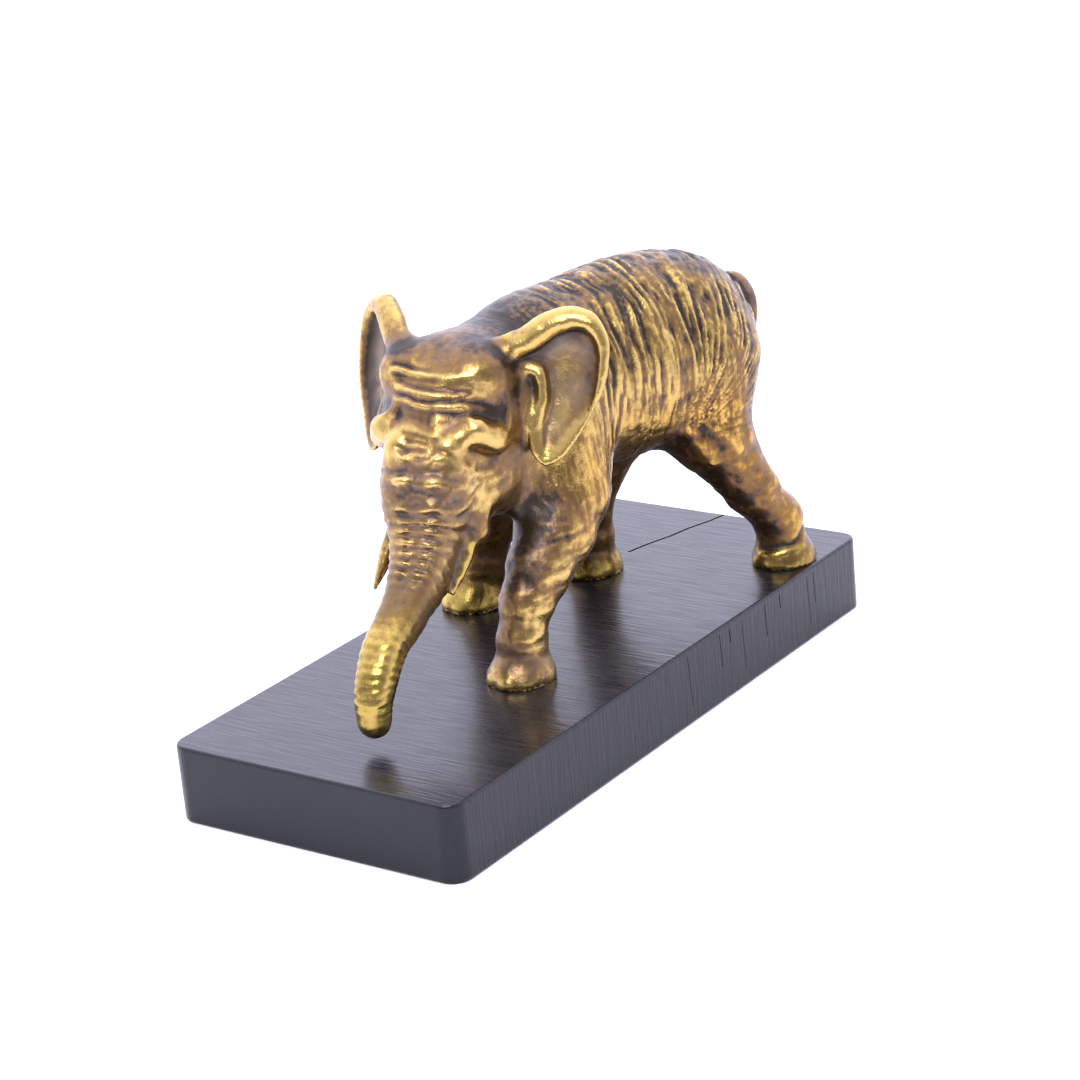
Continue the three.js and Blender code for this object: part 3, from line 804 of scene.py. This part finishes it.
def ear_regions(p, ear):
    """How much each point belongs to each region of an ear's patina, and to the painted light in its cup."""
    out, up, ahead = ear_frame(p, ear).T
    near = ease(1.8, 0.6, ear_distance(p, ear))
    cup = near * ease(-0.4, -1.6, ahead)
    regions = {
        # Painted light in the cup
        "ear_cup_light": cup,
        "ear_cup_top": cup * ease(5, 12, up),
        "ear_cup_clouds": cup * lumps(p, 3, 31),
        "ear_front": near * ease(-0.6, 0.6, ahead) * ease(-6, 2, out),
    }
    if ear["side"] < 0:
        regions["right_ear"] = near
        regions["right_ear_lobe"] = near * ease(10, 6, up)
    return regions


def patina_and_painted_light_map(p, normal, hollow, folds):
    """How dark the patina is at each point: dark in the hollows, on the neck and along the spine, and rubbed
    off on the brow, the ears' rims and the flank. Painted shade darkens the sides of the legs that face each
    other and the end of the tail, and painted light brightens the cheeks and the ears' cups."""
    patina_and_painted_light = hollow.copy()
    for regions in (body_regions(p, normal, hollow, folds), *(ear_regions(p, ear) for ear in EARS)):
        for name, region in regions.items():
            patina_and_painted_light += PATINA_AND_PAINTED_LIGHT[name] * region
    on_skin = ease(1, 0.3, skin_distance(p))
    folded = mirrored(to_head(p))
    above_sole = ease(0.6, 1.6, p[:, 2])
    for middle, reach, amount in HEAD_SPOTS:
        patina_and_painted_light += amount * on_skin * spot(folded, middle, reach)
    for middle, reach, amount in LEG_SPOTS:
        patina_and_painted_light += amount * on_skin * spot(p, middle, reach) * above_sole
    return patina_and_painted_light


# How strong the tints are, and the pale film that is partly a painted sheen
TINT = {"back": 0.6, "ears": 0.3, "warm": 0.8}
FILM_AND_SHEEN = {"foot": 0.2, "trunk": 0.1, "ears": 0.35, "ear_clouds": 0.5}


def tint_map(p, settings):
    """The colour that the bronze is multiplied by: greener on the feet, the back, the trunk's tip and the
    left tusk, and warmer under the flanks and on the legs."""
    s, _, z = p.T
    skin = ease(1.5, 0.5, skin_distance(p)) * ease(2, 6, head_distance(p))
    left_fore_foot = spot(p[:, :2], (37, 18), 10)
    green_parts = [
        ease(1.5, 0.5, trunk_distance(p)) * ease(0.4, 0.65, trunk_share(p)),
        skin * ease(9, 4, z) * (1 - left_fore_foot),
        TINT["back"] * skin * ease(44, 58, z),
        ease(1, 0.2, tusk_distance(p, 1)),
        *(TINT["ears"] * ease(1.5, 0.5, ear_distance(p, ear)) for ear in EARS),
    ]
    green = np.maximum.reduce(green_parts)
    warm = TINT["warm"] * skin * ease(50, 38, z) * ease(4, 10, z) * ease(30, 12, s)
    tint = 1 + green[:, None] * (np.array(settings.green) - 1)
    return tint * (1 + warm[:, None] * (np.array(settings.warm) - 1))


def film_and_sheen_map(p):
    """Where a pale film, partly a painted sheen, greys the bronze: in the ears' cups, on the trunk and on
    the left fore foot.
    """
    share = trunk_share(p)
    trunk = ease(1.5, 0.5, trunk_distance(p))
    trunk *= ease(0.06, 0.18, share) * ease(0.6, 0.45, share)
    film_and_sheen = FILM_AND_SHEEN["foot"] * spot(p, (37, 18.3, 3), (9, 9, 5)) + FILM_AND_SHEEN["trunk"] * trunk
    for ear in EARS:
        cup = ease(1.5, 0.5, ear_distance(p, ear)) * ease(0.4, -2, ear_frame(p, ear)[:, 2])
        film_and_sheen = np.maximum(film_and_sheen, cup * np.clip(FILM_AND_SHEEN["ears"] + FILM_AND_SHEEN["ear_clouds"] * lumps(p, 4, 32), 0, 1))
    return film_and_sheen


def size_setting(name, description, default):
    return bpy.props.FloatProperty(name=name, description=description, default=default, unit="LENGTH")


def colour_setting(name, description, code):
    return bpy.props.FloatVectorProperty(
        name=name, description=description, default=linear(code), size=4, subtype="COLOR"
    )


class CastingSettings(bpy.types.PropertyGroup):
    """The elephant's surface."""

    grain: size_setting("Grain", "Size of the faces of the sculpted surface", 0.57 * MM)
    fold_pitch: size_setting("Fold pitch", "Distance between the folds on the flanks", 2.4 * MM)
    fold_depth: size_setting("Fold depth", "Depth of the folds on the flanks", 0.55 * MM)
    ring_depth: size_setting("Ring depth", "Half the depth of the trunk's rings", 0.5 * MM)
    gold: colour_setting("Gold", "Bronze where it is worn bright", "#c8a864")
    brown: colour_setting("Brown", "Bronze under its patina", "#86683f")
    dull: colour_setting("Dull", "Patina that hides the metal", "#6e533a")
    dark: colour_setting("Dark", "Patina left in the hollows", "#2e2115")
    green: colour_setting("Green", "Tint of the yellower bronze at the feet, tusk and trunk tip", "#e6ead0")
    warm: colour_setting("Warm", "Tint of the redder bronze under the flanks", "#fff1cb")
    # The pale film is partly a painted sheen of the light on the patina
    film_and_sheen: colour_setting("Ash", "Pale film in the ears", "#a8947e")


class BaseSettings(bpy.types.PropertyGroup):
    """The wooden base."""

    corner: size_setting("Corner", "Radius of the upright edges", 4 * MM)
    edge: size_setting("Edge", "Width of the eased top and bottom edges", 0.6 * MM)
    crack: size_setting("Crack", "Width of the crack in the top", 0.6 * MM)
    black: colour_setting("Black", "Ebonised wood", "#121218")
    worn: colour_setting("Worn", "Where the stain wore thin", "#1d1c22")


class StageSettings(bpy.types.PropertyGroup):
    """The floor, the lights and the camera."""

    floor_size: size_setting("Floor", "Half the width of the floor", 3.0)
    lens: bpy.props.FloatProperty(
        name="Lens", description="Focal length for a 36 mm frame", default=102.52, unit="CAMERA"
    )
    softbox: bpy.props.FloatProperty(
        name="Softbox", description="Power of the light overhead", default=4.0, unit="POWER"
    )
    paper: colour_setting("Paper", "Floor", "#f4f4f5")
    sky: colour_setting("Sky", "Light from all round", "#e4e4fb")


def blank(kind, name):
    """A new material or world and its empty tree of nodes."""
    owner = kind.new(name)
    owner.use_nodes = True
    owner.node_tree.nodes.clear()
    return owner, owner.node_tree


def attribute(tree, name, output="Fac"):
    """The values stored under this name on the mesh."""
    return add_node(tree, "Attribute", attribute_name=name).outputs[output]


def clouds(tree, vector, size=1.0, detail=3.0, roughness=0.5):
    """Soft noise from 0 to 1, with lumps of this size."""
    inputs = {"Vector": vector, "Scale": 1 / size, "Detail": detail, "Roughness": roughness}
    return add_node(tree, "TexNoise", inputs).outputs["Fac"]


def stretched(tree, vector, sizes):
    """Places measured in a size of their own along each axis."""
    scale = [1 / size for size in sizes]
    return add_node(tree, "Mapping", {"Vector": vector, "Scale": scale}).outputs[0]


def ranged(tree, value, low, high, start=0.0, end=1.0):
    """A value that goes from low to high while the given one goes from start to end."""
    inputs = {"Value": value, "From Min": start, "From Max": end, "To Min": low, "To Max": high}
    return add_node(tree, "MapRange", inputs).outputs[0]


def maths(tree, operation, *values, clamp=False):
    node = add_node(tree, "Math", dict(enumerate(values)), operation=operation, use_clamp=clamp)
    return node.outputs[0]


def mixed(tree, factor, first, second, blend="MIX"):
    """Two colours mixed by a factor."""
    inputs = {"Factor": factor, 6: first, 7: second}
    return add_node(tree, "Mix", inputs, data_type="RGBA", blend_type=blend).outputs[2]


def patinated_bronze(settings):
    """Cast bronze, rubbed bright where it is handled, under a patina that stays dark in the hollows."""
    material, tree = blank(bpy.data.materials, "patinated_bronze")
    place = add_node(tree, "TexCoord").outputs["Object"]
    flank = attribute(tree, "flank")
    # Clouds of patina, the grime that mottles them, and scratches that run down the flanks with the folds
    cloud = maths(tree, "MULTIPLY_ADD", clouds(tree, place, 7 * MM, 4.0), 0.7, -0.35)
    mottle = ranged(tree, clouds(tree, place, 1.2 * MM, 6.0, 0.7), -0.14, 0.14, 0.3, 0.7)
    down = stretched(tree, place, (1 * MM, 1 * MM, 11 * MM))
    scratches = ranged(tree, clouds(tree, down), -0.16, 0.16, 0.35, 0.65)
    cover = maths(tree, "ADD", cloud, mottle)
    cover = maths(tree, "ADD", cover, maths(tree, "MULTIPLY", scratches, flank))
    # The attribute holds the patina together with painted shade and painted light
    patina_and_painted_light_level = maths(tree, "ADD", attribute(tree, "patina_and_painted_light"), cover, clamp=True)
    ramp = add_node(tree, "ValToRGB", {"Fac": patina_and_painted_light_level})
    elements = ramp.color_ramp.elements
    elements[0].position, elements[0].color = 0.15, settings.gold
    elements[1].position, elements[1].color = 0.95, settings.dark
    elements.new(0.48).color = settings.brown
    elements.new(0.7).color = settings.dull
    tinted = mixed(tree, 1.0, ramp.outputs["Color"], attribute(tree, "tint", "Color"), "MULTIPLY")
    # The grain that the casting's sand left, coarser on the flanks
    grain = {
        "Height": clouds(tree, place, 0.5 * MM),
        "Strength": ranged(tree, flank, 0.25, 0.55),
        "Distance": 0.2 * MM,
    }
    finish = {
        # The pale colour mixed in here is partly a painted sheen
        "Base Color": mixed(tree, attribute(tree, "film_and_sheen"), tinted, settings.film_and_sheen),
        "Metallic": ranged(tree, patina_and_painted_light_level, 1.0, 0.4, 0.4, 0.85),
        "Roughness": ranged(tree, patina_and_painted_light_level, 0.22, 0.36),
        "Normal": add_node(tree, "Bump", grain).outputs["Normal"],
    }
    shader = add_node(tree, "BsdfPrincipled", finish)
    add_node(tree, "OutputMaterial", {"Surface": shader.outputs["BSDF"]})
    return material


def ebonised_wood(settings):
    """Hardwood stained black and rubbed to a gloss, with the ripple that a saw left across it."""
    material, tree = blank(bpy.data.materials, "ebonised_wood")
    place = add_node(tree, "TexCoord").outputs["Object"]
    # Saw marks 0.7 mm apart and about 9 mm long, and wider bands where the stain wore thin
    saw = clouds(tree, stretched(tree, place, (0.7 * MM, 9 * MM, 9 * MM)), detail=2.0)
    bands = clouds(tree, stretched(tree, place, (1.6 * MM, 40 * MM, 40 * MM)))
    ripple = {"Height": saw, "Strength": 0.8, "Distance": 0.12 * MM}
    finish = {
        "Base Color": mixed(tree, ranged(tree, bands, 0.0, 1.0, 0.5, 0.75), settings.black, settings.worn),
        "Roughness": ranged(tree, saw, 0.1, 0.5),
        "Normal": add_node(tree, "Bump", ripple).outputs["Normal"],
        "IOR": 1.33,
        "Coat Weight": 0.3,
        "Coat Roughness": 0.15,
        "Coat IOR": 1.35,
    }
    shader = add_node(tree, "BsdfPrincipled", finish)
    add_node(tree, "OutputMaterial", {"Surface": shader.outputs["BSDF"]})
    return material


def add_piece(name, mesh, material, node):
    """Links a finished piece that stands for a solid of the frame."""
    mesh.name = name
    mesh.materials.clear()
    mesh.materials.append(material)
    piece = linked(name, mesh)
    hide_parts(node)
    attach(piece, BODY_NAME)


# How far the mesh is swollen each time before it is drawn in, because thin edges are only found from outside
SWELLS = (0.8, 0.5)
# How often the surface is rounded to find its hollows, the depth of a full one in millimetres and its patina
HOLLOWS = ((5, 0.17, 0.35), (40, 0.85, 0.3))


class SCULPTURE_OT_cast_elephant(bpy.types.Operator):
    """Sculpts the elephant's skin on a fine copy of its solid and gives it its patina, with painted shade
    and light
    """

    bl_idname = "sculpture.cast_elephant"
    bl_label = "Cast the elephant"

    def execute(self, context):
        settings = context.scene.elephant_casting
        back = np.array(Matrix.Translation(STANCE["at"]) @ Matrix.Rotation(STANCE["yaw"], 4, "Z"))

        def put(places):
            flat = (places @ back[:3, :3].T + back[:3, 3]) * MM
            mesh.vertices.foreach_set("co", flat.ravel())
            mesh.update()
            return mesh_array(mesh.vertex_normals, "vector", 3) @ back[:3, :3]

        mesh = merged_copy(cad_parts["elephant"])
        for swell in SWELLS:
            mesh = even_faces(mesh, settings.grain)
            world = mesh_array(mesh.vertices, "co", 3)
            local = turned(world / MM, STANCE["at"], STANCE["yaw"])
            local = drawn_to_surface(local + swell * put(local))
            normal = put(local)
        ends = mesh_array(mesh.edges, "vertices", 2, np.int32)
        local = local + elephant_relief(local, settings)[:, None] * normal
        local[:, 2] = np.maximum(local[:, 2], 0)
        normal = put(local)
        hollow = np.zeros(len(local))
        for times, full, amount in HOLLOWS:
            depth = ((rounded(local, ends, times) - local) * normal).sum(1)
            hollow += amount * np.clip(depth / full, -1, 1)
        patina_and_painted_light = patina_and_painted_light_map(local, normal, hollow, flank_folds(local, settings))
        flank = ease(1, 6, head_distance(local)) * ease(1, 0.3, skin_distance(local))
        flank *= ease(26, 36, local[:, 2])
        for name, values in (("patina_and_painted_light", patina_and_painted_light), ("film_and_sheen", film_and_sheen_map(local)), ("flank", flank)):
            mesh.attributes.new(name, "FLOAT", "POINT").data.foreach_set("value", values.astype(np.float32))
        tint = tint_map(local, settings).astype(np.float32)
        mesh.attributes.new("tint", "FLOAT_COLOR", "POINT").data.foreach_set("color", tint.ravel())
        mesh.polygons.foreach_set("use_smooth", np.ones(len(mesh.polygons), bool))
        mesh.update()
        add_piece("elephant_casting", mesh, patinated_bronze(settings), "elephant")
        return {"FINISHED"}


# The crack runs along the base's top to its end, and checks run down its left side in three lengths and
# widths, the width as a share of the crack's. Millimetres on the base.
CRACK = {"from": (-46.7, -7.6), "to": (-76, 0.4), "depth": 1.5, "bends": 9, "stray": 0.35, "stray_size": 6}
CHECKS = {
    "x": (-5, -17, -20.7, -25.8, -34.8, -40.7, -52.2, -54.7),
    "top": 14.6,
    "feet": (3.5, 7.5, 11.5),
    "widths": (0.25, 0.37, 0.49),
    "depth": 0.5,
    "slant": math.radians(4),
}


def crack_cutter(width):
    """The shape that the crack and the checks take out of the base block."""
    _, high = (Vector(corner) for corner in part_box("base"))
    bm = bmesh.new()
    start, end = (Vector((*CRACK[name], 0)) * MM for name in ("from", "to"))
    run = end - start
    bmesh.ops.create_cube(bm, size=1)
    bmesh.ops.scale(bm, verts=bm.verts, vec=(run.length, width, 2 * CRACK["depth"] * MM))
    along = [e for e in bm.edges if abs((e.verts[0].co - e.verts[1].co).x) > MM]
    bmesh.ops.subdivide_edges(bm, edges=along, cuts=CRACK["bends"])
    for vert in bm.verts:
        bend = noise.noise(Vector((vert.co.x / (CRACK["stray_size"] * MM), 0, 0)))
        vert.co.y += CRACK["stray"] * MM * bend
    turn = Matrix.Rotation(math.atan2(run.y, run.x), 4, "Z")
    middle = Matrix.Translation((start + end) / 2 + Vector((0, 0, high.z)))
    bmesh.ops.transform(bm, verts=bm.verts, matrix=middle @ turn)
    slant = Matrix.Rotation(CHECKS["slant"], 4, "Y")
    top = CHECKS["top"] * MM
    for i, x in enumerate(CHECKS["x"]):
        share = CHECKS["widths"][i % 3]
        foot = CHECKS["feet"][i % 3] * MM
        shape = Matrix.Diagonal((width * share, 2 * CHECKS["depth"] * MM, top - foot, 1))
        place = Matrix.Translation((x * MM, high.y, (foot + top) / 2))
        bmesh.ops.create_cube(bm, size=1, matrix=place @ slant @ shape)
    return finished(bm, "crack")


def cut_out(block, cutter):
    """A mesh with another one taken out of it."""
    whole, tool = (linked(mesh.name, mesh) for mesh in (block, cutter))
    cut = whole.modifiers.new("cut", "BOOLEAN")
    cut.operation = "DIFFERENCE"
    cut.solver = "EXACT"
    cut.object = tool
    mesh = applied(whole)
    for item in (whole, tool):
        bpy.data.objects.remove(item)
    return mesh


class SCULPTURE_OT_cut_base(bpy.types.Operator):
    """Makes the base block with its rounded corners and eased edges"""

    bl_idname = "sculpture.cut_base"
    bl_label = "Cut the base"

    def execute(self, context):
        settings = context.scene.elephant_base
        low, high = (Vector(corner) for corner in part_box("base"))
        bm = bmesh.new()
        bmesh.ops.create_cube(bm, size=1)
        bmesh.ops.scale(bm, verts=bm.verts, vec=high - low)
        bmesh.ops.translate(bm, verts=bm.verts, vec=(low + high) / 2)
        upright = [e for e in bm.edges if abs((e.verts[0].co - e.verts[1].co).z) > MM]
        eased = {"profile": 0.5, "affect": "EDGES", "material": -1}
        bmesh.ops.bevel(bm, geom=upright, offset=settings.corner, segments=8, **eased)
        level = [e for e in bm.edges if len({round(v.co.z, 6) for v in e.verts}) == 1]
        bmesh.ops.bevel(bm, geom=level, offset=settings.edge, segments=3, **eased)
        mesh = cut_out(finished(bm, "base_block"), crack_cutter(settings.crack))
        add_piece("base_block", mesh, ebonised_wood(settings), "base")
        return {"FINISHED"}


# The stage is in metres. The room's light is strong behind the sculpture and weak towards the camera, with a
# glow overhead: from and to are the slopes between which it changes. The camera sees an even backdrop.
SOFTBOX = {"at": (0.5, 0.2, 0.68), "size": 0.4}
ROOM = {"front": (0.75, 0.56, 0.35), "from": -0.4, "to": 0.9, "behind": 2.9, "before": 0.58}
OVERHEAD = {"from": 0.5, "to": 0.95, "strength": 1.0}
BACKDROP = 1.4
CAMERA = {
    "at": (0.46704, 0.35177, 0.25247),
    "target": (-0.03144, -0.0197, 0.0225),
    "roll": math.radians(-5.3154),
    "nearest": 0.05,
}


def studio_light(settings):
    """Light from all round, as a world."""
    world, tree = blank(bpy.data.worlds, "studio")
    ray = add_node(tree, "TexCoord").outputs["Generated"]
    front = add_node(tree, "VectorMath", {0: ray, 1: ROOM["front"]}, operation="DOT_PRODUCT")
    around = ranged(tree, front.outputs["Value"], ROOM["behind"], ROOM["before"], ROOM["from"], ROOM["to"])
    height = add_node(tree, "SeparateXYZ", {"Vector": ray}).outputs["Z"]
    overhead = ranged(tree, height, 0.0, OVERHEAD["strength"], OVERHEAD["from"], OVERHEAD["to"])
    glow = maths(tree, "ADD", around, overhead)
    seen = add_node(tree, "LightPath").outputs["Is Camera Ray"]
    strength = add_node(tree, "Mix", {"Factor": seen, 2: glow, 3: BACKDROP}).outputs[0]
    sky = add_node(tree, "Background", {"Color": settings.sky, "Strength": strength})
    add_node(tree, "OutputWorld", {"Surface": sky.outputs[0]})
    return world


class SCULPTURE_OT_set_stage(bpy.types.Operator):
    """Puts a pale floor under the sculpture, soft light round it and the camera in front of it"""

    bl_idname = "sculpture.set_stage"
    bl_label = "Set the stage"

    def execute(self, context):
        settings = context.scene.elephant_stage
        scene = context.scene
        bm = bmesh.new()
        bmesh.ops.create_grid(bm, x_segments=1, y_segments=1, size=settings.floor_size)
        mesh = finished(bm, "floor")
        paper = bpy.data.materials.new("white_paper")
        paper.use_nodes = True
        shader = paper.node_tree.nodes["Principled BSDF"]
        shader.inputs["Base Color"].default_value = settings.paper
        shader.inputs["Roughness"].default_value = 0.8
        mesh.materials.append(paper)
        floor = linked("floor", mesh)

        lamp = bpy.data.lights.new("softbox", "AREA")
        lamp.energy = settings.softbox
        lamp.size = SOFTBOX["size"]
        light = linked("softbox", lamp)
        light.location = SOFTBOX["at"]
        light.rotation_euler = Vector(light.location).to_track_quat("Z", "Y").to_euler()
        scene.world = studio_light(settings)
        scene.view_settings.view_transform = "Standard"

        data = bpy.data.cameras.new("camera")
        data.lens = settings.lens
        data.sensor_width = 36
        data.clip_start = CAMERA["nearest"]
        camera = linked("camera", data)
        stand, target = (Vector(CAMERA[name]) for name in ("at", "target"))
        look = (target - stand).to_track_quat("-Z", "Y").to_matrix().to_4x4()
        camera.matrix_world = Matrix.Translation(stand) @ look @ Matrix.Rotation(CAMERA["roll"], 4, "Z")
        scene.camera = camera
        return {"FINISHED"}


class SCULPTURE_PT_panel(bpy.types.Panel):
    """Lists the steps that make the sculpture"""

    bl_label = "Bronze elephant"
    bl_space_type = "VIEW_3D"
    bl_region_type = "UI"
    bl_category = "Elephant"

    def draw(self, context):
        layout = self.layout
        for name, operator in zip(GROUPS, OPERATORS):
            settings = getattr(context.scene, name)
            for field in settings.__annotations__:
                layout.prop(settings, field)
            layout.operator(operator.bl_idname)


GROUPS = {
    "elephant_casting": CastingSettings,
    "elephant_base": BaseSettings,
    "elephant_stage": StageSettings,
}
OPERATORS = (SCULPTURE_OT_cast_elephant, SCULPTURE_OT_cut_base, SCULPTURE_OT_set_stage)
CLASSES = (*GROUPS.values(), *OPERATORS, SCULPTURE_PT_panel)


def register():
    for cls in CLASSES:
        bpy.utils.register_class(cls)
    for name, group in GROUPS.items():
        setattr(bpy.types.Scene, name, bpy.props.PointerProperty(type=group))


def unregister():
    for name in GROUPS:
        delattr(bpy.types.Scene, name)
    for cls in reversed(CLASSES):
        bpy.utils.unregister_class(cls)


def main():
    register()
    bpy.ops.sculpture.set_stage()
    bpy.ops.sculpture.cut_base()
    bpy.ops.sculpture.cast_elephant()


if __name__ == "__main__":
    main()
